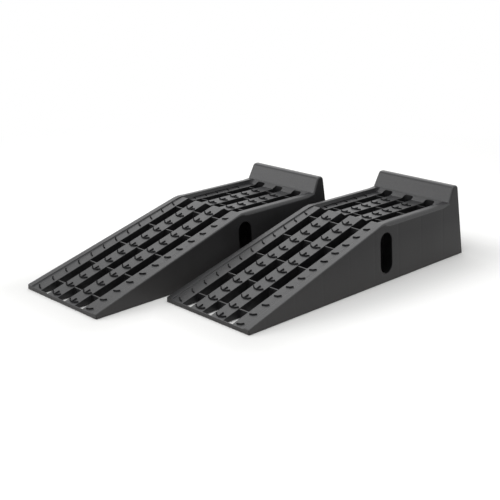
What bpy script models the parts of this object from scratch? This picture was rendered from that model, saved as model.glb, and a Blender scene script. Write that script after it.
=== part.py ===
"""Pair of moulded drive-on ramps with wheel stops, each standing on four rubber feet.

Units are metres, +Z is up.  X runs across the ramps, +Y runs up the slope from the front lip to the
wheel stop.  The origin lies on the floor, under the middle of the pair as it stands.

Each ramp is one hollow plastic moulding: drafted walls, four driving lanes between raised rims,
three open slots, cross ribs, a hand hole in each side wall and a hollow wheel stop.  A ramp is
modelled from the front left foot of its walls, and the pair is placed from there.
"""
from math import acos, asin, ceil, copysign, cos, hypot, pi, radians, sin, sqrt, tan

import bmesh
import bpy
from mathutils import Vector

# ---- overall sizes of one ramp ----
RAMP_LENGTH = 0.8890         # foot of the front lip to foot of the rear wall
RAMP_WIDTH = 0.3050          # at the foot of the side walls
WALL_DRAFT = 0.080           # how far a side wall leans in for each unit of height
REAR_DRAFT = 0.115           # how far the rear wall leans in for each unit of height
LIP_HEIGHT = 0.0140          # top of the rims at the front
RIM_HEIGHT = 0.1640          # top of the rims beside the platform
INCLINE_RUN = 0.5184         # where the sloping rims reach that height
CREST_ROUND = 0.0600         # rounding of the rims there

# ---- wheel stop ----
STOP_RUN = 0.0681            # foot of its front face, at rim height, to the foot of the rear wall
STOP_LEAN = 0.459            # how far that face leans back for each unit of height
STOP_RISE = 0.0450           # its top above the rims beside the platform
STOP_ROUND = 0.0105          # rounding along the top of the stop

# ---- rounded edges of the outer shell ----
EDGE_ROUND_FRONT = 0.0024    # top edge of a side wall, at the lip
EDGE_ROUND_CREST = 0.0036    # the same edge where the slope ends
EDGE_ROUND_RIM = 0.0110      # the same edge beside the platform
EDGE_ROUND_STOP = 0.0045     # the same edge at the stop, and the ends of the stop
EDGE_ROUND_REAR = 0.0060     # upright rear corners, at the floor
EDGE_EASE_RUN = 0.0300       # length over which the rounding narrows before the stop
LIP_ROUND = 0.0030           # top of the front lip
EDGE_SHARE = 0.8             # largest share of a rounding that an edge running into it takes

# ---- deck: lanes, rims and the dish that holds the wheel ----
INCLINE_SINK = 0.0031        # lanes below the rims on the slope
CREST_SINK = 0.0020          # highest line of the lanes below the rims of the platform
PLATFORM_SINK = 0.0122       # lanes of the platform below those rims
INCLINE_RIM_FOOT = 0.0195    # outer wall to the inner foot of a rim, on the slope
PLATFORM_RIM_FOOT = 0.0255   # the same beside the platform
RIM_GROWTH_LEAD = 0.0184     # from where the rims begin to widen to the end of their slope
RIM_GROWTH_RUN = 0.0450      # length over which they widen
RIM_SLANT = 0.40             # how far the inner side of a rim leans out for each unit of height
DISH_DROP_RUN = 0.0172       # length over which the lanes fall behind their highest line
DISH_RISE_RUN = 0.0160       # length over which they rise to the stop
DISH_LEDGE = 0.0004          # end of the lanes to the face of the stop
DISH_ROUND = 0.0080          # rounding of the lanes into and out of the dish

# ---- slots, ribs and walls ----
SLOT_COUNT = 3
SLOT_WIDTH = 0.0322
SLOT_PITCH = 0.0762
SLOT_END_GAP = 0.0026        # rear end of a slot to the foot of the stop
SLOT_CORNER = 0.0070         # rounding at the rear end of a slot, seen from above
SLOT_STRAIGHT = 0.0002       # shortest straight between two of those roundings
RIB_SINK = 0.0015            # rib tops below the lanes
FIRST_RIB = 0.0575
INCLINE_RIB_PITCH = 0.1043
PLATFORM_RIB_START = 0.0539  # highest line of the lanes to the first rib behind it
PLATFORM_RIB_PITCH = 0.0998
RIB_THICKNESS = 0.0030
WEB_THICKNESS = 0.0030       # long walls on both sides of a slot
WALL_THICKNESS = 0.0040      # outer walls
LIP_WALL = 0.0024            # front wall where a slot ends at the lip
DECK_THICKNESS = 0.0040
WEB_LIFT = 0.0010            # inner walls end this far above the foot of the outer walls
FOOT_REBATE = 0.0005         # step inside the foot of the outer walls, as high as that lift

# ---- tread marks ----
MARK_RADIUS = 0.0215         # centre line of the curved bar
MARK_REACH = 0.0175          # middle of the bar to its end, across the ramp
MARK_STEM = 0.0165           # foot of the bar to the tip of the stem
MARK_BAR = 0.0032            # width of bar and stem
MARK_HEIGHT = 0.0028
MARK_ROOT = 0.0008           # how far a mark reaches into the deck
MARK_FIRST = 0.0085          # lip to the first row, along the slope
MARK_PITCH = 0.0443
PLATFORM_MARK_START = 0.0385  # highest line of the lanes to the first row behind it
PLATFORM_MARK_PITCH = 0.0455
SIDE_MARK_INSET = 0.0095     # slot to the inner end of a side lane's mark

# ---- hand hole in each side wall ----
HOLE_OFFSET = 0.0066         # end of the slope to the middle of the hole
HOLE_WIDTH = 0.0505
HOLE_BOTTOM = 0.0245
HOLE_ROOF = 0.0252           # top of the hole to the top of the rims

# ---- rubber feet and their sockets ----
FOOT_RADIUS = 0.0150
FOOT_THICKNESS = 0.0070      # disc below the socket
FOOT_BEVEL = 0.0012          # round the tread of the disc
FOOT_PROUD = 0.0010          # tread below the foot of the walls
STEM_RADIUS = 0.0065
STEM_LENGTH = 0.0120
BOSS_WALL = 0.0040
BOSS_HEIGHT = 0.0240
BOSS_DIP = 0.0035            # how far a boss reaches into the room of its foot, which trims it
BOSS_TURN = 0.5              # of a facet, so that a boss turns an edge to its rib and not a face
FIT_GAP = 0.0003             # between a foot and its socket

# ---- how the pair stands ----
SET_GAP = 0.0258             # between the two ramps, from the front right foot of the left one
SET_STAGGER = 0.2062         # how far the right ramp stands behind the left one
SET_TURN = radians(0.93)     # how far the left ramp is turned to the left

ARC_STEP = radians(15)       # largest turn between two points of an arc
EDGE_STEPS = 4               # facets across a rounded edge
FOOT_SIDES = 16
OVERRUN = 0.0100             # how far a cutter reaches past the surface that it opens

# ---- worked out from the sizes above ----
WALL_FOOT = FOOT_PROUD                                   # height of the foot of the walls
STOP_FOOT = RAMP_LENGTH - STOP_RUN                       # front face of the stop, at rim height
STOP_HEIGHT = RIM_HEIGHT + STOP_RISE
LANE_TOP = RIM_HEIGHT - CREST_SINK                       # highest line of the lanes
PLATFORM_HEIGHT = RIM_HEIGHT - PLATFORM_SINK             # top of the lanes on the platform
RIM_GROWTH_START = INCLINE_RUN - RIM_GROWTH_LEAD
RIM_GROWTH_END = RIM_GROWTH_START + RIM_GROWTH_RUN
HOLE_CENTRE = INCLINE_RUN + HOLE_OFFSET
HOLE_TOP = RIM_HEIGHT - HOLE_ROOF
SLOPE = (RIM_HEIGHT - LIP_HEIGHT) / INCLINE_RUN
LANE_LIP = LIP_HEIGHT - INCLINE_SINK                     # top of the lanes at the front
LANE_CREST = (LANE_TOP - LANE_LIP) / SLOPE               # where the lanes are highest
DISH_END = STOP_FOOT - STOP_LEAN * (RIM_HEIGHT - LANE_TOP) - DISH_LEDGE
DISH_SLOPE = (LANE_TOP - PLATFORM_HEIGHT) / DISH_RISE_RUN
SLOT_END = STOP_FOOT - SLOT_END_GAP


def clear_scene():
    for old in list(bpy.data.objects):
        bpy.data.objects.remove(old)


def rounded_path(corners):
    """Path through corners (y, z, radius), each one turned into an arc where it has a radius."""
    path = [Vector(corners[0][:2])]
    for before, corner, after in zip(corners, corners[1:], corners[2:]):
        point = Vector(corner[:2])
        if corner[2] == 0:
            path.append(point)
            continue
        back = Vector(before[:2]) - point
        ahead = Vector(after[:2]) - point
        room = min(back.length, ahead.length) / 2
        back.normalize()
        ahead.normalize()
        turn = pi - acos(back.dot(ahead))
        reach = min(corner[2] * tan(turn / 2), room)
        centre = point + (back + ahead).normalized() * reach / sin(turn / 2)
        arm = point + back * reach - centre
        spin = copysign(turn, ahead.x * back.y - ahead.y * back.x)
        steps = ceil(turn / ARC_STEP)
        for step in range(steps + 1):
            angle = spin * step / steps
            path.append(centre + Vector((arm.x * cos(angle) - arm.y * sin(angle),
                                         arm.x * sin(angle) + arm.y * cos(angle))))
    path.append(Vector(corners[-1][:2]))
    return path


def height_on(path, y):
    """Height of a path at y."""
    for start, end in zip(path, path[1:]):
        if start.x <= y <= end.x and end.x > start.x:
            return start.y + (end.y - start.y) * (y - start.x) / (end.x - start.x)
    return path[-1].y


def stretch(path, start, end):
    """The part of a path between two values of y."""
    inner = [point for point in path if start < point.x < end]
    return [Vector((start, height_on(path, start))), *inner, Vector((end, height_on(path, end)))]


def lowered(path, depth):
    return [Vector((point.x, point.y - depth)) for point in path]


def with_stations(path, places):
    """A path with more points on it, at the given values of y."""
    more = [Vector((place, height_on(path, place))) for place in places]
    return sorted([*path, *more], key=lambda point: point.x)


def lane_corners(radius):
    """Corners of the lanes' top, from in front of the lip to the foot of the stop."""
    return [
        (-OVERRUN, LANE_LIP - SLOPE * OVERRUN, 0),
        (LANE_CREST, LANE_TOP, radius),
        (LANE_CREST + DISH_DROP_RUN, PLATFORM_HEIGHT, radius),
        (DISH_END - DISH_RISE_RUN, PLATFORM_HEIGHT, radius),
        (DISH_END, LANE_TOP, 0),
    ]


def shell_path():
    """Side view of the outer shell, from the foot of the lip over the top to the rear foot."""
    stop_rise = STOP_HEIGHT - RIM_HEIGHT
    return rounded_path([
        (0, WALL_FOOT, 0),
        (0, LIP_HEIGHT, LIP_ROUND),
        (RIM_GROWTH_START, LIP_HEIGHT + SLOPE * RIM_GROWTH_START, 0),
        (INCLINE_RUN, RIM_HEIGHT, CREST_ROUND),
        (RIM_GROWTH_END, RIM_HEIGHT, 0),
        (STOP_FOOT - EDGE_EASE_RUN, RIM_HEIGHT, 0),
        (STOP_FOOT, RIM_HEIGHT, 0),
        (STOP_FOOT + STOP_LEAN * stop_rise, STOP_HEIGHT, STOP_ROUND),
        (RAMP_LENGTH - REAR_DRAFT * (STOP_HEIGHT - WALL_FOOT), STOP_HEIGHT, STOP_ROUND),
        (RAMP_LENGTH, WALL_FOOT, 0),
    ])


def mitres(path):
    """For each point of a path, the step that moves both lines beside it out by one unit."""
    normals = []
    for start, end in zip(path, path[1:]):
        along = (end - start).normalized()
        normals.append(Vector((-along.y, along.x)))
    steps = [Vector((1 / normals[0].x, 0))]
    for first, second in zip(normals, normals[1:]):
        middle = (first + second).normalized()
        steps.append(middle / middle.dot(first))
    steps.append(Vector((1 / normals[-1].x, 0)))
    return steps


def edge_round(point):
    """Rounding of the shell's edge beside a point of its side view."""
    front = min(EDGE_ROUND_FRONT, LIP_ROUND * EDGE_SHARE)
    stop = min(EDGE_ROUND_STOP, STOP_ROUND * EDGE_SHARE)
    stations = [
        (0, front),
        (RIM_GROWTH_START, EDGE_ROUND_CREST),
        (RIM_GROWTH_END, EDGE_ROUND_RIM),
        (STOP_FOOT - EDGE_EASE_RUN, EDGE_ROUND_RIM),
        (STOP_FOOT, stop),
    ]
    if point.x >= RAMP_LENGTH:
        return EDGE_ROUND_REAR
    return height_on([Vector(station) for station in stations], point.x)


def wall_x(height):
    """Outer face of the left wall at a height; the right wall mirrors it."""
    return WALL_DRAFT * (height - WALL_FOOT)


def object_from(mesh_builder, name):
    mesh = bpy.data.meshes.new(name)
    bmesh.ops.recalc_face_normals(mesh_builder, faces=mesh_builder.faces)
    mesh_builder.to_mesh(mesh)
    mesh_builder.free()
    made = bpy.data.objects.new(name, mesh)
    bpy.context.scene.collection.objects.link(made)
    return made


def make_shell():
    """Solid outer form: a ring of points for each point of the side view, joined into a skin."""
    builder = bmesh.new()
    path = shell_path()
    rings = []
    for point, step in zip(path, mitres(path)):
        radius = edge_round(point)
        left, right = [], []
        for facet in range(EDGE_STEPS + 1):
            turn = pi / 2 * facet / EDGE_STEPS
            spot = point - step * radius * (1 - sin(turn))
            x = wall_x(spot.y) + radius * (1 - cos(turn))
            left.append(builder.verts.new((x, spot.x, spot.y)))
            right.append(builder.verts.new((RAMP_WIDTH - x, spot.x, spot.y)))
        rings.append(left + right[::-1])
    for near, far in zip(rings, rings[1:]):
        for corner in range(len(near) - 1):
            builder.faces.new((near[corner], near[corner + 1], far[corner + 1], far[corner]))
    builder.faces.new([ring[0] for ring in rings])
    builder.faces.new([ring[-1] for ring in rings])
    builder.faces.new(rings[0] + rings[-1][::-1])
    return object_from(builder, "shell")


def add_prism(builder, outline, low, high):
    """Solid over a side-view outline; low and high give x at a height for its two ends."""
    ends = []
    for side in (low, high):
        ends.append([builder.verts.new((side(point[1]), point[0], point[1])) for point in outline])
    for first in range(len(outline)):
        second = (first + 1) % len(outline)
        builder.faces.new((ends[0][first], ends[0][second], ends[1][second], ends[1][first]))
    builder.faces.new(ends[0])
    builder.faces.new(ends[1])


def upright(x):
    """End of a prism that stands straight up at x."""
    return lambda height: x


def left_wall(inset):
    """End of a prism that follows the left wall, inset from its outer face."""
    return lambda height: wall_x(height) + inset


def right_wall(inset):
    return lambda height: RAMP_WIDTH - wall_x(height) - inset


def slot_sides():
    """Left and right side of each slot, from left to right."""
    sides = []
    for index in range(SLOT_COUNT):
        middle = RAMP_WIDTH / 2 + (index - (SLOT_COUNT - 1) / 2) * SLOT_PITCH
        sides.append((middle - SLOT_WIDTH / 2, middle + SLOT_WIDTH / 2))
    return sides


def rib_places():
    """Where the cross ribs stand along the ramp."""
    places = []
    place = FIRST_RIB
    while place < LANE_CREST - RIB_THICKNESS:
        places.append(place)
        place += INCLINE_RIB_PITCH
    place = LANE_CREST + PLATFORM_RIB_START
    while place < DISH_END - DISH_RISE_RUN / 2:
        places.append(place)
        place += PLATFORM_RIB_PITCH
    return places


def bays(start, end):
    """Stretches between the cross ribs, from start to end."""
    stations = [start]
    for place in rib_places():
        stations += [place - RIB_THICKNESS / 2, place + RIB_THICKNESS / 2]
    stations.append(end)
    return list(zip(stations[::2], stations[1::2]))


def rim_foot(y):
    """Outer wall to the inner foot of a rim, at y."""
    stations = [
        (-OVERRUN, INCLINE_RIM_FOOT),
        (RIM_GROWTH_START, INCLINE_RIM_FOOT),
        (RIM_GROWTH_END, PLATFORM_RIM_FOOT),
    ]
    return height_on([Vector(station) for station in stations], y)


def deck_cutter():
    """Everything above the lanes between the rims, as a ring of points for each place.

    The last ring leans back with the face of the wheel stop.
    """
    builder = bmesh.new()
    lanes = rounded_path(lane_corners(DISH_ROUND))
    lanes = with_stations(lanes, (RIM_GROWTH_START, RIM_GROWTH_END))
    rise = PLATFORM_SINK + OVERRUN
    rings = []
    for point in lanes:
        back = STOP_LEAN * rise if point is lanes[-1] else 0
        foot = wall_x(point.y) + rim_foot(point.x)
        top = wall_x(point.y + rise) + rim_foot(point.x) - RIM_SLANT * (rise - DISH_SLOPE * back)
        ring = [
            (foot, point.x, point.y),
            (top, point.x + back, point.y + rise),
            (RAMP_WIDTH - top, point.x + back, point.y + rise),
            (RAMP_WIDTH - foot, point.x, point.y),
        ]
        rings.append([builder.verts.new(corner) for corner in ring])
    for near, far in zip(rings, rings[1:]):
        for first in range(len(near)):
            second = (first + 1) % len(near)
            builder.faces.new((near[first], near[second], far[second], far[first]))
    builder.faces.new(rings[0])
    builder.faces.new(rings[-1])
    return object_from(builder, "deck_cutter")


def rib_top_cutter():
    """Shallow run of each slot, which leaves the cross ribs below the lanes."""
    builder = bmesh.new()
    places = rib_places()
    start = places[0] - RIB_THICKNESS
    end = places[-1] + RIB_THICKNESS
    rib_tops = stretch(lowered(rounded_path(lane_corners(DISH_ROUND)), RIB_SINK), start, end)
    above = lowered(rib_tops, -RIB_SINK - OVERRUN)
    for left, right in slot_sides():
        add_prism(builder, [*rib_tops, *above[::-1]], upright(left), upright(right))
    return object_from(builder, "rib_top_cutter")


def well_outline(left, right, start, end, last):
    """Plan of an open well; the last one of a slot has round corners at its rear end."""
    room = min(right - left, end - start) - SLOT_STRAIGHT
    radius = min(SLOT_CORNER, room / 2) if last else 0
    return rounded_path([
        (left, start, 0),
        (right, start, 0),
        (right, end, radius),
        (left, end, radius),
        (left, start, 0),
    ])[:-1]


def well_cutter():
    """Open wells of the slots between the cross ribs, right through the ramp."""
    builder = bmesh.new()
    stretches = bays(LIP_WALL, SLOT_END)
    for left, right in slot_sides():
        for index, (start, end) in enumerate(stretches):
            outline = well_outline(left, right, start, end, index == len(stretches) - 1)
            floor = [builder.verts.new((x, y, -OVERRUN)) for x, y in outline]
            top = [builder.verts.new((x, y, RIM_HEIGHT + OVERRUN)) for x, y in outline]
            for first in range(len(outline)):
                second = (first + 1) % len(outline)
                builder.faces.new((floor[first], floor[second], top[second], top[first]))
            builder.faces.new(floor)
            builder.faces.new(top)
    return object_from(builder, "well_cutter")


def stop_hollow(start):
    """Side view of the space inside the wheel stop, from a wall at start to the rear wall."""
    lean_wall = WALL_THICKNESS * hypot(1, STOP_LEAN)
    rear_wall = WALL_THICKNESS * hypot(1, REAR_DRAFT)
    roof = STOP_HEIGHT - WALL_THICKNESS
    floor = LANE_TOP - DECK_THICKNESS
    return [
        (start, floor),
        (STOP_FOOT - STOP_LEAN * (RIM_HEIGHT - floor) + lean_wall, floor),
        (STOP_FOOT + STOP_LEAN * (roof - RIM_HEIGHT) + lean_wall, roof),
        (RAMP_LENGTH - REAR_DRAFT * (roof - WALL_FOOT) - rear_wall, roof),
        (RAMP_LENGTH + REAR_DRAFT * (WALL_FOOT + OVERRUN) - rear_wall, -OVERRUN),
    ]


def underside_cutter():
    """Open cells under the lanes and inside the stop, between the long walls and the ribs."""
    builder = bmesh.new()
    underside = lowered(rounded_path(lane_corners(0)), DECK_THICKNESS)
    sides = slot_sides()
    edges = [left_wall(WALL_THICKNESS)]
    for left, right in sides:
        edges += [upright(left - WEB_THICKNESS), upright(right + WEB_THICKNESS)]
    edges.append(right_wall(WALL_THICKNESS))
    stretches = bays(WALL_THICKNESS, underside[-1].x)
    for low, high in zip(edges[::2], edges[1::2]):
        for index, (start, end) in enumerate(stretches):
            outline = [(start, -OVERRUN), *stretch(underside, start, end)]
            if index < len(stretches) - 1:
                outline.append((end, -OVERRUN))
            else:
                outline += stop_hollow(end)[1:]
            add_prism(builder, outline, low, high)
    behind_slot = SLOT_END + WEB_THICKNESS
    for left, right in sides:
        outline = [(behind_slot, -OVERRUN), *stop_hollow(behind_slot)]
        add_prism(builder, outline, upright(left), upright(right))
    return object_from(builder, "underside_cutter")


def inner_foot_cutter():
    """Thin layer at the floor that lifts the ribs and the long walls clear of it."""
    builder = bmesh.new()
    top = WALL_FOOT + WEB_LIFT
    wall = WALL_THICKNESS - FOOT_REBATE
    rear = RAMP_LENGTH - wall * hypot(1, REAR_DRAFT)
    outline = [
        (wall, -OVERRUN),
        (wall, top),
        (rear - REAR_DRAFT * WEB_LIFT, top),
        (rear + REAR_DRAFT * (WALL_FOOT + OVERRUN), -OVERRUN),
    ]
    add_prism(builder, outline, left_wall(wall), right_wall(wall))
    return object_from(builder, "inner_foot_cutter")


def hand_hole_cutter():
    """Upright slot with round ends, through each side wall."""
    builder = bmesh.new()
    radius = HOLE_WIDTH / 2
    outline = []
    for middle, first in ((HOLE_BOTTOM + radius, pi), (HOLE_TOP - radius, 0)):
        steps = ceil(pi / ARC_STEP)
        for step in range(steps + 1):
            angle = first + pi * step / steps
            outline.append((HOLE_CENTRE + radius * cos(angle), middle + radius * sin(angle)))
    reach = wall_x(HOLE_TOP) + WALL_THICKNESS + OVERRUN
    add_prism(builder, outline, upright(-OVERRUN), upright(reach))
    add_prism(builder, outline, upright(RAMP_WIDTH - reach), upright(RAMP_WIDTH + OVERRUN))
    return object_from(builder, "hand_hole_cutter")


def bar_outline(half):
    """Outline of a tread mark: a curved bar with a stem, or the half of the bar on one side."""
    sweep = asin(MARK_REACH / MARK_RADIUS)
    outer = MARK_RADIUS + MARK_BAR / 2
    inner = MARK_RADIUS - MARK_BAR / 2
    turns = [sweep * share for share in (-1, -0.5, 0, 0.5, 1)]
    if half:
        turns = [turn for turn in turns if turn * half >= 0]
    outline = [(outer * sin(turn), MARK_RADIUS - outer * cos(turn)) for turn in turns]
    for turn in reversed(turns):
        if turn or half:
            outline.append((inner * sin(turn), MARK_RADIUS - inner * cos(turn)))
            continue
        stem_foot = MARK_RADIUS - sqrt(inner ** 2 - (MARK_BAR / 2) ** 2)
        outline += [(MARK_BAR / 2, stem_foot), (MARK_BAR / 2, MARK_STEM)]
        outline += [(-MARK_BAR / 2, MARK_STEM), (-MARK_BAR / 2, stem_foot)]
    return outline


def mark_rows():
    """Foot point and direction up the lane of each row of marks, as (y, z) pairs."""
    rows = []
    along = Vector((1, SLOPE)).normalized()
    lip = Vector((0, LANE_LIP))
    distance = MARK_FIRST
    while distance + MARK_STEM < (LANE_CREST - MARK_BAR) * hypot(1, SLOPE):
        rows.append((lip + along * distance, along))
        distance += MARK_PITCH
    place = LANE_CREST + PLATFORM_MARK_START
    while place + MARK_STEM < DISH_END - DISH_RISE_RUN:
        rows.append((Vector((place, PLATFORM_HEIGHT)), Vector((1, 0))))
        place += PLATFORM_MARK_PITCH
    return rows


def tread_marks():
    """Raised marks: whole ones on the inner lanes, half ones on the two side lanes."""
    builder = bmesh.new()
    sides = slot_sides()
    columns = [(sides[0][0] - SIDE_MARK_INSET, -1), (sides[-1][1] + SIDE_MARK_INSET, 1)]
    for before, after in zip(sides, sides[1:]):
        columns.append(((before[1] + after[0]) / 2, 0))
    for foot, along in mark_rows():
        up = Vector((-along.y, along.x))
        for middle, half in columns:
            caps = []
            for lift in (-MARK_ROOT, MARK_HEIGHT):
                cap = []
                for across, ahead in bar_outline(half):
                    spot = foot + along * ahead + up * lift
                    cap.append(builder.verts.new((middle + across, spot.x, spot.y)))
                caps.append(cap)
            for first in range(len(caps[0])):
                second = (first + 1) % len(caps[0])
                builder.faces.new((caps[0][first], caps[0][second], caps[1][second], caps[1][first]))
            builder.faces.new(caps[0])
            builder.faces.new(caps[1])
    return object_from(builder, "tread_marks")


def foot_places():
    """Middle of each foot under one ramp: in the side lanes, on a front and a rear cross rib."""
    sides = slot_sides()
    ribs = rib_places()
    places = {}
    for end, rib in (("front", ribs[1]), ("rear", ribs[-1])):
        deck = height_on(rounded_path(lane_corners(0)), rib)
        inner_face = wall_x(min(deck, PLATFORM_HEIGHT) / 2) + WALL_THICKNESS
        inset = (inner_face + sides[0][0] - WEB_THICKNESS) / 2
        places[end + "_left"] = (inset, rib)
        places[end + "_right"] = (RAMP_WIDTH - inset, rib)
    return places


def add_turned(builder, profile, middle, first_side=0.0):
    """Solid turned about an upright axis; profile is (radius, height) from the bottom up."""
    rings = []
    for radius, height in profile:
        ring = []
        for side in range(FOOT_SIDES):
            angle = 2 * pi * (side + first_side) / FOOT_SIDES
            ring.append(builder.verts.new((middle[0] + radius * cos(angle),
                                           middle[1] + radius * sin(angle), height)))
        rings.append(ring)
    for below, above in zip(rings, rings[1:]):
        for first in range(FOOT_SIDES):
            second = (first + 1) % FOOT_SIDES
            builder.faces.new((below[first], below[second], above[second], above[first]))
    builder.faces.new(rings[0])
    builder.faces.new(rings[-1])


def socket_bosses():
    """Round bosses on the cross ribs, one over each foot."""
    builder = bmesh.new()
    radius = STEM_RADIUS + FIT_GAP + BOSS_WALL
    roof = FOOT_THICKNESS + FIT_GAP + BOSS_HEIGHT
    for middle in foot_places().values():
        add_turned(builder, [(radius, FOOT_THICKNESS - BOSS_DIP), (radius, roof)], middle, BOSS_TURN)
    return object_from(builder, "socket_bosses")


def socket_cutter():
    """Room for each foot: its disc below the boss and its stem inside it."""
    builder = bmesh.new()
    disc = FOOT_RADIUS + FIT_GAP
    stem = STEM_RADIUS + FIT_GAP
    step = FOOT_THICKNESS + FIT_GAP
    roof = FOOT_THICKNESS + STEM_LENGTH + FIT_GAP
    for middle in foot_places().values():
        profile = [(disc, -OVERRUN), (disc, step), (stem, step), (stem, roof)]
        add_turned(builder, profile, middle)
    return object_from(builder, "socket_cutter")


def combine(body, tool, operation):
    """Join the tool to the body or cut it away, and keep the result as the body's own mesh."""
    step = body.modifiers.new(tool.name, "BOOLEAN")
    step.object = tool
    step.operation = operation
    graph = bpy.context.evaluated_depsgraph_get()
    mesh = bpy.data.meshes.new_from_object(body.evaluated_get(graph))
    body.modifiers.remove(step)
    body.data = mesh
    bpy.data.objects.remove(tool)


def make_ramp_mesh():
    ramp = make_shell()
    combine(ramp, deck_cutter(), "DIFFERENCE")
    combine(ramp, rib_top_cutter(), "DIFFERENCE")
    combine(ramp, well_cutter(), "DIFFERENCE")
    combine(ramp, underside_cutter(), "DIFFERENCE")
    combine(ramp, inner_foot_cutter(), "DIFFERENCE")
    combine(ramp, hand_hole_cutter(), "DIFFERENCE")
    combine(ramp, socket_bosses(), "UNION")
    combine(ramp, socket_cutter(), "DIFFERENCE")
    combine(ramp, tread_marks(), "UNION")
    mesh = ramp.data
    mesh.name = "ramp"
    mesh.shade_smooth()
    mesh.set_sharp_from_angle(angle=radians(30))
    mesh.materials.clear()
    mesh.materials.append(make_material("black_polypropylene", (0.030, 0.030, 0.031), 0.50))
    bpy.data.objects.remove(ramp)
    return mesh


def make_foot_mesh():
    """Rubber foot: a disc with a bevelled tread and a stem that is pressed into the socket."""
    builder = bmesh.new()
    profile = [
        (FOOT_RADIUS - FOOT_BEVEL, 0),
        (FOOT_RADIUS, FOOT_BEVEL),
        (FOOT_RADIUS, FOOT_THICKNESS),
        (STEM_RADIUS, FOOT_THICKNESS),
        (STEM_RADIUS, FOOT_THICKNESS + STEM_LENGTH),
    ]
    add_turned(builder, profile, (0, 0))
    template = object_from(builder, "foot")
    mesh = template.data
    mesh.shade_smooth()
    mesh.set_sharp_from_angle(angle=radians(30))
    mesh.materials.append(make_material("moulded_rubber", (0.012, 0.012, 0.012), 0.75))
    bpy.data.objects.remove(template)
    return mesh


def make_material(name, colour, roughness):
    material = bpy.data.materials.new(name)
    material.use_nodes = True
    shader = material.node_tree.nodes["Principled BSDF"]
    shader.inputs["Base Color"].default_value = (*colour, 1)
    shader.inputs["Roughness"].default_value = roughness
    shader.inputs["Metallic"].default_value = 0
    return material


def place(mesh, name, parent, location):
    made = bpy.data.objects.new(name, mesh)
    made.location = location
    made.parent = parent
    bpy.context.scene.collection.objects.link(made)


def build_set():
    ramp_mesh = make_ramp_mesh()
    foot_mesh = make_foot_mesh()
    shift = RAMP_LENGTH * sin(SET_TURN)
    across = shift + RAMP_WIDTH * cos(SET_TURN) + SET_GAP + RAMP_WIDTH
    front = -(RAMP_LENGTH + SET_STAGGER) / 2
    stands = {
        "left": ((shift - across / 2, front, 0), SET_TURN),
        "right": ((across / 2 - RAMP_WIDTH, front + SET_STAGGER, 0), 0),
    }
    for side, (corner, turn) in stands.items():
        stand = bpy.data.objects.new(f"{side}_ramp_corner", None)
        stand.location = corner
        stand.rotation_euler.z = turn
        bpy.context.scene.collection.objects.link(stand)
        place(ramp_mesh, f"{side}_ramp", stand, (0, 0, 0))
        for where, (x, y) in foot_places().items():
            place(foot_mesh, f"{side}_ramp_foot_{where}", stand, (x, y, 0))


clear_scene()
build_set()
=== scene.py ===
import math

import bmesh
import bpy
from mathutils import Matrix, Vector


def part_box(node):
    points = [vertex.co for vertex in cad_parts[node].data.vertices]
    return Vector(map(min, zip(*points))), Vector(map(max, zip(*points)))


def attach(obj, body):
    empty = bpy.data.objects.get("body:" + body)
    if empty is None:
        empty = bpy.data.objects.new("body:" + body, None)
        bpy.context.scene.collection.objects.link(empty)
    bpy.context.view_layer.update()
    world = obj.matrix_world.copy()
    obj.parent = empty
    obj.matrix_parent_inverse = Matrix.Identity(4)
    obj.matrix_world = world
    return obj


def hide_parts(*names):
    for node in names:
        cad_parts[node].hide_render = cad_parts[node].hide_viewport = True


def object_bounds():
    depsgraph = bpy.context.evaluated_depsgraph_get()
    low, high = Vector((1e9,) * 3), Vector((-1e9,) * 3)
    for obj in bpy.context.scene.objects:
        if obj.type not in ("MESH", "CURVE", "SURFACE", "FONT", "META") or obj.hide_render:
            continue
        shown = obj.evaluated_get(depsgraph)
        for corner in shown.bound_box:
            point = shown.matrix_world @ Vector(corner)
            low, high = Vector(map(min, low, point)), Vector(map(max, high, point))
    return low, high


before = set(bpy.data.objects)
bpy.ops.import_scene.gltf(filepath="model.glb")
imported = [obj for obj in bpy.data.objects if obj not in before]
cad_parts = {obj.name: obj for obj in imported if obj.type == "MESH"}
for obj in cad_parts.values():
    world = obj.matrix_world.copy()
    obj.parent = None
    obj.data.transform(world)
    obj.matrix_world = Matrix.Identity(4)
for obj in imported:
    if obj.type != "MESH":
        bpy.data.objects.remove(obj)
cadLow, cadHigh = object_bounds()
middle = (cadLow + cadHigh) / 2
print("frame loaded:", len(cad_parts), "nodes")


def linearColour(hexText):
    # sRGB hex text to the linear numbers that the shader sockets take
    shares = [int(hexText[start:start + 2], 16) / 255 for start in (1, 3, 5)]
    return [share / 12.92 if share <= 0.04045 else ((share + 0.055) / 1.055) ** 2.4
            for share in shares] + [1.0]


def perMetre(millimetres):
    # pattern scale for a real size, with texture coordinates in metres
    return 1000 / millimetres


def addNode(tree, kind, settings=None, links=None):
    # one node with its settings (own properties or input values) and the links into it
    node = tree.nodes.new(kind)
    for name, value in (settings or {}).items():
        if isinstance(name, str) and hasattr(node, name):
            setattr(node, name, value)
        else:
            node.inputs[name].default_value = value
    for name, (source, output) in (links or {}).items():
        tree.links.new(source.outputs[output], node.inputs[name])
    return node


def newMaterial(name):
    material = bpy.data.materials.new(name)
    material.use_nodes = True
    tree = material.node_tree
    tree.nodes.clear()
    return material, tree


# ---- black polypropylene ----

# The deck comes out of a spark-eroded mould face: a fine even grain. The room light that the grain
# scatters is painted into the colour as a lighter sheen on the grain's ridges, together with rubbed
# wear, so the lanes look greyer than the smooth walls and slightly speckled.
grainedDeck = {
    "colour": "#242425",
    "dullColour": "#1e1e1f",
    "rubbedSheenColour": "#3c3c3e",
    "rubbedSheenMost": 0.4,       # share of this rubbed wear and painted sheen on the ridges of the grain
    "roughness": (0.28, 0.34),
    "ior": 1.49,
    "grainMm": 2.2,          # the real grain is about 0.3 mm, drawn coarser so that it shows
    "grainBump": 0.6,
    "grainDepth": 0.0004,
    "mottleMm": 5,
    "mottle": (0.78, 1.12),  # darkest and lightest patch against the even colour
    "flowMm": 140,
}


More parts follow.
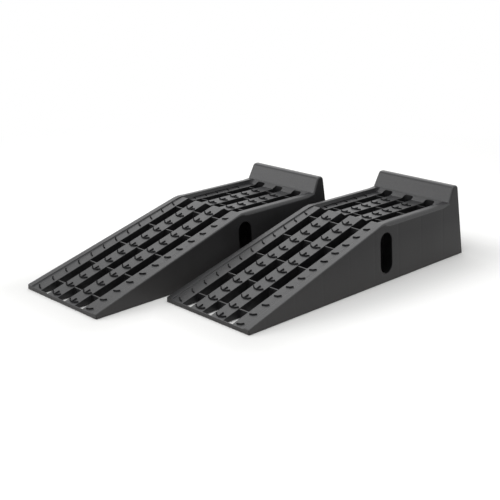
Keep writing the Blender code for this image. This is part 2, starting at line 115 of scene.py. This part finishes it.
def makeGrainedDeck(look):
    material, tree = newMaterial("grainedPolypropyleneMoulded")
    place = addNode(tree, "ShaderNodeTexCoord")
    grain = addNode(tree, "ShaderNodeTexVoronoi", {"Scale": perMetre(look["grainMm"])},
                    {"Vector": (place, "Object")})
    mottle = addNode(tree, "ShaderNodeTexNoise",
                     {"Scale": perMetre(look["mottleMm"]), "Detail": 4.0, "Roughness": 0.65},
                     {"Vector": (place, "Object")})
    flow = addNode(tree, "ShaderNodeTexNoise",
                   {"Scale": perMetre(look["flowMm"]), "Detail": 3.0, "Roughness": 0.5,
                    "Distortion": 0.6},
                   {"Vector": (place, "Object")})
    tint = addNode(tree, "ShaderNodeMix",
                   {"data_type": "RGBA", 6: linearColour(look["dullColour"]),
                    7: linearColour(look["colour"])},
                   {0: (flow, "Fac")})
    # painted sheen and rubbed wear: the grain's ridges get a lighter colour
    rubbedSheenShare = addNode(tree, "ShaderNodeMapRange",
                          {"From Min": 0.05, "From Max": 0.75, "To Max": look["rubbedSheenMost"]},
                          {"Value": (grain, "Distance")})
    rubbedSheen = addNode(tree, "ShaderNodeMix",
                     {"data_type": "RGBA", 7: linearColour(look["rubbedSheenColour"])},
                     {0: (rubbedSheenShare, "Result"), 6: (tint, 2)})
    mottleValue = addNode(tree, "ShaderNodeMapRange",
                          {"From Min": 0.35, "From Max": 0.65, "To Min": look["mottle"][0],
                           "To Max": look["mottle"][1]},
                          {"Value": (mottle, "Fac")})
    colour = addNode(tree, "ShaderNodeHueSaturation", {},
                     {"Value": (mottleValue, "Result"), "Color": (rubbedSheen, 2)})
    roughness = addNode(tree, "ShaderNodeMapRange",
                        {"From Min": 0.3, "From Max": 0.7, "To Min": look["roughness"][0],
                         "To Max": look["roughness"][1]},
                        {"Value": (mottle, "Fac")})
    bump = addNode(tree, "ShaderNodeBump",
                   {"Strength": look["grainBump"], "Distance": look["grainDepth"]},
                   {"Height": (grain, "Distance")})
    shader = addNode(tree, "ShaderNodeBsdfPrincipled", {"IOR": look["ior"], "Metallic": 0.0},
                     {"Base Color": (colour, "Color"), "Roughness": (roughness, "Result"),
                      "Normal": (bump, "Normal")})
    addNode(tree, "ShaderNodeOutputMaterial", {}, {"Surface": (shader, "BSDF")})
    return material


# The walls come out of a finely blasted mould face: an even satin black with faint upright bands,
# where the plastic sank over the cross ribs behind the wall.
satinWall = {
    "colour": "#262627",
    "darkColour": "#202021",
    "dustAndFloorLightColour": "#3c3b3b",
    "floorLightFoot": 0.9,         # share of painted floor light, a lighter colour, at the foot of the wall
    "floorLightTop": 0.12,         # it thins out up to this height
    "floorLightGrain": 0.3,        # and is stronger by this share where the grain is high
    "roughness": (0.34, 0.46),
    "specular": 0.20,        # the blasted face scatters part of its gloss away
    "ior": 1.49,
    "flowMm": 90,
    "upFlowShare": 0.25,     # flow marks are drawn out upright
    "grainMm": 1.2,          # the real blasting is about 0.1 mm, drawn coarser so that it shows
    "grainBump": 0.12,
    "grainDepth": 0.0002,
    "firstRib": 0.0575,
    "ribPitch": 0.1043,
    "sinkRun": 0.007,        # from the middle of a sink mark to where the wall is even again
    "sinkBump": 0.5,
    "sinkDepth": 0.0003,
}


def makeSatinWall(look):
    material, tree = newMaterial("satinPolypropyleneMoulded")
    place = addNode(tree, "ShaderNodeTexCoord")
    drawn = addNode(tree, "ShaderNodeMapping", {"Scale": (1.0, 1.0, look["upFlowShare"])},
                    {"Vector": (place, "Object")})
    flow = addNode(tree, "ShaderNodeTexNoise",
                   {"Scale": perMetre(look["flowMm"]), "Detail": 4.0, "Roughness": 0.55},
                   {"Vector": (drawn, "Vector")})
    grain = addNode(tree, "ShaderNodeTexNoise",
                    {"Scale": perMetre(look["grainMm"]), "Detail": 2.0, "Roughness": 0.5},
                    {"Vector": (place, "Object")})
    flowShare = addNode(tree, "ShaderNodeMapRange", {"From Min": 0.3, "From Max": 0.7},
                        {"Value": (flow, "Fac")})
    colour = addNode(tree, "ShaderNodeMix",
                     {"data_type": "RGBA", 6: linearColour(look["darkColour"]),
                      7: linearColour(look["colour"])},
                     {0: (flowShare, "Result")})
    roughness = addNode(tree, "ShaderNodeMapRange",
                        {"From Min": 0.3, "From Max": 0.7, "To Min": look["roughness"][0],
                         "To Max": look["roughness"][1]},
                        {"Value": (flow, "Fac")})
    # painted light from the pale floor: a lighter colour, strongest at the foot of the wall
    axes = addNode(tree, "ShaderNodeSeparateXYZ", {}, {"Vector": (place, "Object")})
    height = addNode(tree, "ShaderNodeMapRange",
                     {"From Max": look["floorLightTop"], "To Min": look["floorLightFoot"], "To Max": 0.0},
                     {"Value": (axes, "Z")})
    uneven = addNode(tree, "ShaderNodeMath", {"operation": "MULTIPLY_ADD", 1: look["floorLightGrain"]},
                     {0: (grain, "Fac"), 2: (height, "Result")})
    floorLit = addNode(tree, "ShaderNodeMix",
                    {"data_type": "RGBA", 7: linearColour(look["dustAndFloorLightColour"])},
                    {0: (uneven, "Value"), 6: (colour, 2)})
    # distance along the ramp to the nearest cross rib, as the depth of a shallow sink mark
    fromRib = addNode(tree, "ShaderNodeMath", {"operation": "SUBTRACT", 1: look["firstRib"]},
                      {0: (axes, "Y")})
    toRib = addNode(tree, "ShaderNodeMath",
                    {"operation": "PINGPONG", 1: look["ribPitch"] / 2}, {0: (fromRib, "Value")})
    sink = addNode(tree, "ShaderNodeMapRange",
                   {"interpolation_type": "SMOOTHSTEP", "From Max": look["sinkRun"]},
                   {"Value": (toRib, "Value")})
    sunk = addNode(tree, "ShaderNodeBump",
                   {"Strength": look["sinkBump"], "Distance": look["sinkDepth"]},
                   {"Height": (sink, "Result")})
    bump = addNode(tree, "ShaderNodeBump",
                   {"Strength": look["grainBump"], "Distance": look["grainDepth"]},
                   {"Height": (grain, "Fac"), "Normal": (sunk, "Normal")})
    shader = addNode(tree, "ShaderNodeBsdfPrincipled",
                     {"IOR": look["ior"], "Metallic": 0.0, "Specular IOR Level": look["specular"]},
                     {"Base Color": (floorLit, 2), "Roughness": (roughness, "Result"),
                      "Normal": (bump, "Normal")})
    addNode(tree, "ShaderNodeOutputMaterial", {}, {"Surface": (shader, "BSDF")})
    return material


# The slots and the cells below come off polished steel inserts: a smoother black, with a little dust
# that dulls it in patches. Its colour is darker and its gloss lower than the deck's, as painted shade
# in the slots and cells.
polishedShadedInsert = {
    "colour": "#1c1c1d",
    "dustAndFloorLightColour": "#222223",
    "dustMost": 0.7,
    "dustMm": 26,
    "roughness": (0.28, 0.48),
    "specular": 0.30,        # lowered as painted shade, since little light of the room comes down between the walls
    "ior": 1.49,
    "waveMm": 5,
    "waveBump": 0.1,
    "waveDepth": 0.0002,
}


def makePolishedShadedInsert(look):
    material, tree = newMaterial("smoothPolypropyleneShadedRecess")
    place = addNode(tree, "ShaderNodeTexCoord")
    dust = addNode(tree, "ShaderNodeTexNoise",
                   {"Scale": perMetre(look["dustMm"]), "Detail": 5.0, "Roughness": 0.6},
                   {"Vector": (place, "Object")})
    dustShare = addNode(tree, "ShaderNodeMapRange",
                        {"From Min": 0.42, "From Max": 0.7, "To Max": look["dustMost"]},
                        {"Value": (dust, "Fac")})
    colour = addNode(tree, "ShaderNodeMix",
                     {"data_type": "RGBA", 6: linearColour(look["colour"]),
                      7: linearColour(look["dustAndFloorLightColour"])},
                     {0: (dustShare, "Result")})
    roughness = addNode(tree, "ShaderNodeMapRange",
                        {"From Min": 0.35, "From Max": 0.7, "To Min": look["roughness"][0],
                         "To Max": look["roughness"][1]},
                        {"Value": (dust, "Fac")})
    wave = addNode(tree, "ShaderNodeTexNoise",
                   {"Scale": perMetre(look["waveMm"]), "Detail": 1.0},
                   {"Vector": (place, "Object")})
    bump = addNode(tree, "ShaderNodeBump",
                   {"Strength": look["waveBump"], "Distance": look["waveDepth"]},
                   {"Height": (wave, "Fac")})
    shader = addNode(tree, "ShaderNodeBsdfPrincipled",
                     {"IOR": look["ior"], "Metallic": 0.0, "Specular IOR Level": look["specular"]},
                     {"Base Color": (colour, 2), "Roughness": (roughness, "Result"),
                      "Normal": (bump, "Normal")})
    addNode(tree, "ShaderNodeOutputMaterial", {}, {"Surface": (shader, "BSDF")})
    return material


# The tread marks come out of mould faces that are etched deeper than the deck's: coarse, matt, and
# dulled by what tyres leave on them. Their colour is darker and their gloss nearly gone, partly as
# painted shade for the marks' dark sides, so they stay dark where the lanes around them shine. The
# drop behind the crest gets the same finish as painted shade behind the crest.
etchedMarkAndShade = {
    "colour": "#1c1c1d",
    "wornColour": "#282829",
    "roughness": (0.70, 0.85),
    "specular": 0.04,
    "ior": 1.49,
    "pitMm": 1.1,            # the real pits are about 0.2 mm, drawn coarser so that they show
    "pitBump": 0.4,
    "pitDepth": 0.0003,
    "wearMm": 12,
}


def makeEtchedMarkAndShade(look):
    material, tree = newMaterial("etchedPolypropyleneMarkAndShade")
    place = addNode(tree, "ShaderNodeTexCoord")
    pits = addNode(tree, "ShaderNodeTexVoronoi", {"Scale": perMetre(look["pitMm"])},
                   {"Vector": (place, "Object")})
    wear = addNode(tree, "ShaderNodeTexNoise",
                   {"Scale": perMetre(look["wearMm"]), "Detail": 4.0, "Roughness": 0.6},
                   {"Vector": (place, "Object")})
    wearShare = addNode(tree, "ShaderNodeMapRange", {"From Min": 0.4, "From Max": 0.7},
                        {"Value": (wear, "Fac")})
    colour = addNode(tree, "ShaderNodeMix",
                     {"data_type": "RGBA", 6: linearColour(look["colour"]),
                      7: linearColour(look["wornColour"])},
                     {0: (wearShare, "Result")})
    roughness = addNode(tree, "ShaderNodeMapRange",
                        {"From Min": 0.3, "From Max": 0.7, "To Min": look["roughness"][1],
                         "To Max": look["roughness"][0]},
                        {"Value": (wear, "Fac")})
    bump = addNode(tree, "ShaderNodeBump",
                   {"Strength": look["pitBump"], "Distance": look["pitDepth"]},
                   {"Height": (pits, "Distance")})
    shader = addNode(tree, "ShaderNodeBsdfPrincipled",
                     {"IOR": look["ior"], "Metallic": 0.0, "Specular IOR Level": look["specular"]},
                     {"Base Color": (colour, 2), "Roughness": (roughness, "Result"),
                      "Normal": (bump, "Normal")})
    addNode(tree, "ShaderNodeOutputMaterial", {}, {"Surface": (shader, "BSDF")})
    return material


# ---- rubber ----

# Compression moulded rubber: dull, nearly black, with a greyish bloom and grit pressed into it.
mouldedRubber = {
    "colour": "#1b1b1b",
    "bloomColour": "#2c2b2a",
    "roughness": (0.72, 0.92),
    "ior": 1.52,
    "bloomMm": 7,
    "gritMm": 0.9,           # the real grit is about 0.3 mm, drawn coarser so that it shows
    "gritBump": 0.3,
    "gritDepth": 0.0002,
}


def makeMouldedRubber(look):
    material, tree = newMaterial("rubberCompressionMoulded")
    place = addNode(tree, "ShaderNodeTexCoord")
    bloom = addNode(tree, "ShaderNodeTexNoise",
                    {"Scale": perMetre(look["bloomMm"]), "Detail": 4.0, "Roughness": 0.6},
                    {"Vector": (place, "Object")})
    grit = addNode(tree, "ShaderNodeTexVoronoi", {"Scale": perMetre(look["gritMm"])},
                   {"Vector": (place, "Object")})
    colour = addNode(tree, "ShaderNodeMix",
                     {"data_type": "RGBA", 6: linearColour(look["colour"]),
                      7: linearColour(look["bloomColour"])},
                     {0: (bloom, "Fac")})
    roughness = addNode(tree, "ShaderNodeMapRange",
                        {"From Min": 0.3, "From Max": 0.7, "To Min": look["roughness"][0],
                         "To Max": look["roughness"][1]},
                        {"Value": (bloom, "Fac")})
    bump = addNode(tree, "ShaderNodeBump",
                   {"Strength": look["gritBump"], "Distance": look["gritDepth"]},
                   {"Height": (grit, "Distance")})
    shader = addNode(tree, "ShaderNodeBsdfPrincipled", {"IOR": look["ior"], "Metallic": 0.0},
                     {"Base Color": (colour, 2), "Roughness": (roughness, "Result"),
                      "Normal": (bump, "Normal")})
    addNode(tree, "ShaderNodeOutputMaterial", {}, {"Surface": (shader, "BSDF")})
    return material


deckPlastic = makeGrainedDeck(grainedDeck)
wallPlastic = makeSatinWall(satinWall)
shadedInsertPlastic = makePolishedShadedInsert(polishedShadedInsert)
markAndShadePlastic = makeEtchedMarkAndShade(etchedMarkAndShade)
rubber = makeMouldedRubber(mouldedRubber)
finishes = (deckPlastic, wallPlastic, shadedInsertPlastic, markAndShadePlastic)
print("materials made")


# ---- the two ramps ----

ramp = {
    "turns": {"left_ramp": math.radians(0.93), "right_ramp": 0.0},
    "length": 0.889,
    "width": 0.305,
    "wallDraft": 0.080,      # how far the side walls lean in for each unit of height
    "rearDraft": 0.115,
    "wallFoot": 0.001,
    "lipLane": 0.0109,       # top of the lanes at the front
    "slope": 0.28935,
    "laneCrest": 0.5222,     # where they are highest
    "dishStart": 0.5394,     # where the level lanes begin
    "dishEnd": 0.8036,       # where they begin to rise to the wheel stop
    "platform": 0.1518,
    "rimInset": 0.030,
    "markFoot": 0.0003,      # a face whose middle lies this far over the lanes is part of a mark
    "markTop": 0.0028,       # height of the tread marks over the lanes
    "rimFoot": 0.00056,      # what else lies this far over them is part of a rim or the stop
    "ribSink": 0.0015,       # how far the cross ribs lie below them
    "planeSlack": 0.0002,    # how far off a plane a face may lie and still count as part of it
    "wallFacing": 0.9,       # least share of a normal that points out of a wall
    "deckFacing": 0.3,       # least upward share on the deck
    "dropFacing": (0.05, 0.5),  # least rearward and upward share on the drop behind the crest
    "mergeGap": 0.00002,
    "flatTurn": math.radians(0.4),
    "edgeRadius": 0.0005,    # radius on the moulding's edges
    "edgeSegments": 2,
    "edgeTurn": math.radians(26),
}


def laneHeight(y):
    crestTop = ramp["lipLane"] + ramp["slope"] * ramp["laneCrest"]
    if y <= ramp["laneCrest"]:
        return ramp["lipLane"] + ramp["slope"] * y
    if y < ramp["dishStart"]:
        share = (y - ramp["laneCrest"]) / (ramp["dishStart"] - ramp["laneCrest"])
        return crestTop + (ramp["platform"] - crestTop) * share
    return ramp["platform"]


def isOuterWall(centre, normal):
    lean = ramp["wallDraft"] * (centre.z - ramp["wallFoot"])
    slack = ramp["planeSlack"]
    if abs(normal.x) > ramp["wallFacing"]:
        return abs(centre.x - lean) < slack or abs(ramp["width"] - centre.x - lean) < slack
    rear = ramp["length"] - ramp["rearDraft"] * (centre.z - ramp["wallFoot"])
    onEnd = abs(centre.y - rear) < slack or abs(centre.y) < slack
    return onEnd and abs(normal.y) > ramp["wallFacing"]


def isMarkOrShadedDrop(centre, normal, over):
    if not ramp["rimInset"] < centre.x < ramp["width"] - ramp["rimInset"]:
        return False
    # the drop behind the crest takes the mark finish as painted shade
    if ramp["laneCrest"] <= centre.y <= ramp["dishStart"]:
        rearward, upward = ramp["dropFacing"]
        return normal.y > rearward and normal.z > upward
    highest = ramp["markTop"] + ramp["planeSlack"]
    return ramp["markFoot"] < over < highest and centre.y < ramp["dishEnd"]


def finishOf(face):
    centre = face.calc_center_median()
    over = centre.z - laneHeight(centre.y)
    if isOuterWall(centre, face.normal):
        return wallPlastic
    if isMarkOrShadedDrop(centre, face.normal, over):
        return markAndShadePlastic
    onDeck = face.normal.z > ramp["deckFacing"] and over > -ramp["ribSink"] - ramp["planeSlack"]
    return deckPlastic if onDeck or over > ramp["rimFoot"] else shadedInsertPlastic


def dressRamp(node, turn):
    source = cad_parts[node].data
    low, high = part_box(node)
    corner = Vector((low.x + ramp["length"] * math.sin(turn), low.y, 0))
    builder = bmesh.new()
    builder.from_mesh(source)
    place = Matrix.Translation(corner) @ Matrix.Rotation(turn, 4, "Z")
    bmesh.ops.transform(builder, matrix=place.inverted(), verts=builder.verts)
    bmesh.ops.remove_doubles(builder, verts=builder.verts, dist=ramp["mergeGap"])
    bmesh.ops.join_triangles(builder, faces=builder.faces, angle_shape_threshold=math.pi,
                             angle_face_threshold=ramp["flatTurn"])
    builder.normal_update()
    for face in builder.faces:
        face.material_index = finishes.index(finishOf(face))
        face.smooth = True
    mesh = bpy.data.meshes.new(node + "_moulding")
    builder.to_mesh(mesh)
    builder.free()
    for material in finishes:
        mesh.materials.append(material)
    piece = bpy.data.objects.new(node + "_moulding", mesh)
    bpy.context.scene.collection.objects.link(piece)
    piece.location = corner
    piece.rotation_euler.z = turn
    rounding = piece.modifiers.new("roundedEdges", "BEVEL")
    rounding.width = ramp["edgeRadius"]
    rounding.segments = ramp["edgeSegments"]
    rounding.limit_method = "ANGLE"
    rounding.angle_limit = ramp["edgeTurn"]
    rounding.use_clamp_overlap = False
    rounding.miter_outer = "MITER_ARC"
    shading = piece.modifiers.new("evenShading", "WEIGHTED_NORMAL")
    shading.keep_sharp = True
    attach(piece, "root")
    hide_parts(node)
    print(node, "dressed:", len(mesh.polygons), "faces")


for name, turn in ramp["turns"].items():
    dressRamp(name, turn)


# ---- the rubber feet ----

foot = {
    "sides": 48,
    "thickness": 0.0070,
    "bevel": 0.0012,
    "bevelCorner": 0.3,      # share of the bevel at which its middle point lies
    "stemRadius": 0.0065,
    "stemBevel": 0.0008,
    "grooves": 3,            # rings cut into the tread, which grip the floor
    "grooveWidth": 0.0012,
    "grooveDepth": 0.0008,
    "firstGroove": 0.0035,
    "groovePitch": 0.0032,
    "edgeTurn": math.radians(35),
}


def footProfile(radius, height):
    # (radius, height) from the middle of the tread, out and up to the top of the stem
    points = [(0.0, 0.0)]
    for index in range(foot["grooves"]):
        inner = foot["firstGroove"] + index * foot["groovePitch"]
        outer = inner + foot["grooveWidth"]
        points += [(inner, 0.0), (inner, foot["grooveDepth"]),
                   (outer, foot["grooveDepth"]), (outer, 0.0)]
    corner = foot["bevel"] * foot["bevelCorner"]
    points += [
        (radius - foot["bevel"], 0.0),
        (radius - corner, corner),
        (radius, foot["bevel"]),
        (radius, foot["thickness"]),
        (foot["stemRadius"], foot["thickness"]),
        (foot["stemRadius"], height - foot["stemBevel"]),
        (foot["stemRadius"] - foot["stemBevel"], height),
        (0.0, height),
    ]
    return points


def dressFoot(node):
    low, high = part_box(node)
    centre = (low + high) / 2
    profile = footProfile((high.x - low.x) / 2, high.z - low.z)
    builder = bmesh.new()
    rings = []
    turn = 2 * math.pi / foot["sides"]
    for radius, height in profile:
        if radius == 0:
            rings.append([builder.verts.new((0, 0, height))] * foot["sides"])
            continue
        rings.append([builder.verts.new((radius * math.cos(side * turn),
                                         radius * math.sin(side * turn), height))
                      for side in range(foot["sides"])])
    for near, far in zip(rings, rings[1:]):
        for side in range(foot["sides"]):
            after = (side + 1) % foot["sides"]
            corners = []
            for corner in (near[side], near[after], far[after], far[side]):
                if corner not in corners:
                    corners.append(corner)
            builder.faces.new(corners)
    bmesh.ops.recalc_face_normals(builder, faces=builder.faces)
    mesh = bpy.data.meshes.new(node + "_pad")
    builder.to_mesh(mesh)
    builder.free()
    mesh.materials.append(rubber)
    mesh.shade_smooth()
    mesh.set_sharp_from_angle(angle=foot["edgeTurn"])
    piece = bpy.data.objects.new(node + "_pad", mesh)
    bpy.context.scene.collection.objects.link(piece)
    piece.location = (centre.x, centre.y, low.z)
    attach(piece, "root")
    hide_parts(node)


for name in sorted(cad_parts):
    if "_foot_" in name:
        dressFoot(name)
print("feet made")


# ---- floor, light and camera ----

room = {
    "floorSize": 30.0,
    "paperColour": "#ececeb",
    "paperRoughness": 0.9,
    "paperSpecular": 0.1,
    "fibreMm": 5,
    "fibreBump": 0.05,
    "fibreDepth": 0.0002,
    "whiteness": 0.30,       # lifts the paper to white for the camera, away from the ramps
    "shadedNearWhiteness": 0.02,   # the same right under them, held low there as painted shade around the ramps
    "rampSize": (0.305, 0.889),
    "shadeRun": 0.25,        # how far from a ramp the full lift is reached
    "farStart": 0.9,         # from here the paper turns into the white of the room
    "farEnd": 1.8,
    "fillColour": "#ffffff",
    "fill": 0.45,            # strength of the room's light on the ramps
    "lamps": {
        # name: (azimuth, elevation, distance, width, height, power)
        "frontLeftSoftbox": (-40, 22, 3.2, 2.6, 1.8, 32),
        "backLeftSoftbox": (-134, 42, 4.0, 3.4, 2.4, 26),
        "overheadSoftbox": (40, 72, 2.8, 2.0, 2.0, 40),
    },
}


def makeSeenRays(tree):
    # 1 where the camera sees the room, directly, mirrored or through something, and 0 elsewhere
    ray = addNode(tree, "ShaderNodeLightPath")
    seen = addNode(tree, "ShaderNodeMath", {"operation": "MAXIMUM"},
                   {0: (ray, "Is Camera Ray"), 1: (ray, "Is Glossy Ray")})
    return addNode(tree, "ShaderNodeMath", {"operation": "MAXIMUM"},
                   {0: (seen, "Value"), 1: (ray, "Is Transmission Ray")})


# Rolled studio paper: nearly white and matt, with a fine fibre that keeps its shading from being even.
def makeFloor():
    material, tree = newMaterial("seamlessPaperRolled")
    place = addNode(tree, "ShaderNodeTexCoord")
    fibre = addNode(tree, "ShaderNodeTexNoise",
                    {"Scale": perMetre(room["fibreMm"]), "Detail": 3.0},
                    {"Vector": (place, "Object")})
    bump = addNode(tree, "ShaderNodeBump",
                   {"Strength": room["fibreBump"], "Distance": room["fibreDepth"]},
                   {"Height": (fibre, "Fac")})
    shader = addNode(tree, "ShaderNodeBsdfPrincipled",
                     {"Base Color": linearColour(room["paperColour"]),
                      "Roughness": room["paperRoughness"],
                      "Specular IOR Level": room["paperSpecular"]},
                     {"Normal": (bump, "Normal")})
    # distance to the nearer ramp's footprint
    half = (room["rampSize"][0] / 2, room["rampSize"][1] / 2, 0)
    nearest = None
    for node in ramp["turns"]:
        low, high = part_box(node)
        centre = (low + high) / 2 - middle
        moved = addNode(tree, "ShaderNodeVectorMath",
                        {"operation": "SUBTRACT", 1: (centre.x, centre.y, 0)},
                        {0: (place, "Object")})
        mirrored = addNode(tree, "ShaderNodeVectorMath", {"operation": "ABSOLUTE"},
                           {0: (moved, "Vector")})
        past = addNode(tree, "ShaderNodeVectorMath", {"operation": "SUBTRACT", 1: half},
                       {0: (mirrored, "Vector")})
        outside = addNode(tree, "ShaderNodeVectorMath", {"operation": "MAXIMUM", 1: (0, 0, 0)},
                          {0: (past, "Vector")})
        distance = addNode(tree, "ShaderNodeVectorMath", {"operation": "LENGTH"},
                           {0: (outside, "Vector")})
        if nearest is None:
            nearest = (distance, "Value")
            continue
        both = addNode(tree, "ShaderNodeMath", {"operation": "MINIMUM"},
                       {0: nearest, 1: (distance, "Value")})
        nearest = (both, "Value")
    # the lift grows outward from the ramps' footprints, which paints shade on the paper near and under
    # the ramps
    lift = addNode(tree, "ShaderNodeMapRange",
                   {"interpolation_type": "SMOOTHSTEP", "From Max": room["shadeRun"],
                    "To Min": room["shadedNearWhiteness"], "To Max": room["whiteness"]},
                   {"Value": nearest})
    seenRays = makeSeenRays(tree)
    lifted = addNode(tree, "ShaderNodeMath", {"operation": "MULTIPLY"},
                     {0: (lift, "Result"), 1: (seenRays, "Value")})
    glow = addNode(tree, "ShaderNodeEmission", {"Color": (1, 1, 1, 1)},
                   {"Strength": (lifted, "Value")})
    paper = addNode(tree, "ShaderNodeAddShader", {}, {0: (shader, "BSDF"), 1: (glow, "Emission")})
    # far away the paper turns into the white of the room, so no horizon shows
    far = addNode(tree, "ShaderNodeMapRange",
                  {"interpolation_type": "SMOOTHSTEP", "From Min": room["farStart"],
                   "From Max": room["farEnd"]},
                  {"Value": nearest})
    farSeen = addNode(tree, "ShaderNodeMath", {"operation": "MULTIPLY"},
                      {0: (far, "Result"), 1: (seenRays, "Value")})
    white = addNode(tree, "ShaderNodeEmission", {"Color": (1, 1, 1, 1), "Strength": 1.0})
    ground = addNode(tree, "ShaderNodeMixShader", {},
                     {0: (farSeen, "Value"), 1: (paper, "Shader"), 2: (white, "Emission")})
    addNode(tree, "ShaderNodeOutputMaterial", {}, {"Surface": (ground, "Shader")})
    reach = room["floorSize"] / 2
    mesh = bpy.data.meshes.new("paperFloor")
    mesh.from_pydata([(-reach, -reach, 0), (reach, -reach, 0), (reach, reach, 0),
                      (-reach, reach, 0)], [], [(0, 1, 2, 3)])
    mesh.materials.append(material)
    floor = bpy.data.objects.new("paperFloor", mesh)
    bpy.context.scene.collection.objects.link(floor)
    floor.location = (middle.x, middle.y, cadLow.z)


def makeWorld():
    world = bpy.data.worlds.new("paleRoom")
    world.use_nodes = True
    tree = world.node_tree
    tree.nodes.clear()
    seenRays = makeSeenRays(tree)
    strength = addNode(tree, "ShaderNodeMapRange", {"To Min": room["fill"]},
                       {"Value": (seenRays, "Value")})
    back = addNode(tree, "ShaderNodeBackground", {"Color": linearColour(room["fillColour"])},
                   {"Strength": (strength, "Result")})
    addNode(tree, "ShaderNodeOutputWorld", {}, {"Surface": (back, "Background")})
    bpy.context.scene.world = world


def outward(azimuth, elevation):
    # unit vector from the ramps towards a place at this azimuth and elevation
    turn, rise = math.radians(azimuth), math.radians(elevation)
    return Vector((math.sin(turn) * math.cos(rise), -math.cos(turn) * math.cos(rise),
                   math.sin(rise)))


def makeLamps():
    for name, (azimuth, elevation, distance, width, height, power) in room["lamps"].items():
        lamp = bpy.data.lights.new(name, "AREA")
        lamp.shape = "RECTANGLE"
        lamp.size = width
        lamp.size_y = height
        lamp.energy = power
        holder = bpy.data.objects.new(name, lamp)
        away = outward(azimuth, elevation)
        holder.location = middle + away * distance
        holder.rotation_mode = "QUATERNION"
        holder.rotation_quaternion = away.to_track_quat("Z", "Y")
        bpy.context.scene.collection.objects.link(holder)


viewpoint = {
    "azimuth": 45.707,
    "elevation": 18.349,
    "roll": 0.066,
    "lens": 67.09,
    "sensor": 36.0,
    "place": (1.77198, -1.75050, 0.88320),
}


def makeCamera():
    lensData = bpy.data.cameras.new("productCamera")
    lensData.lens = viewpoint["lens"]
    lensData.sensor_width = viewpoint["sensor"]
    camera = bpy.data.objects.new("productCamera", lensData)
    back = outward(viewpoint["azimuth"], viewpoint["elevation"])
    right = Vector((0, 0, 1)).cross(back).normalized()
    turned = Matrix((right, back.cross(right), back)).transposed()
    turned = turned @ Matrix.Rotation(math.radians(viewpoint["roll"]), 3, "Z")
    camera.matrix_world = Matrix.Translation(viewpoint["place"]) @ turned.to_4x4()
    bpy.context.scene.collection.objects.link(camera)
    bpy.context.scene.camera = camera


makeFloor()
makeWorld()
makeLamps()
makeCamera()
bpy.context.scene.view_settings.view_transform = "Standard"
print("floor, light and camera made")
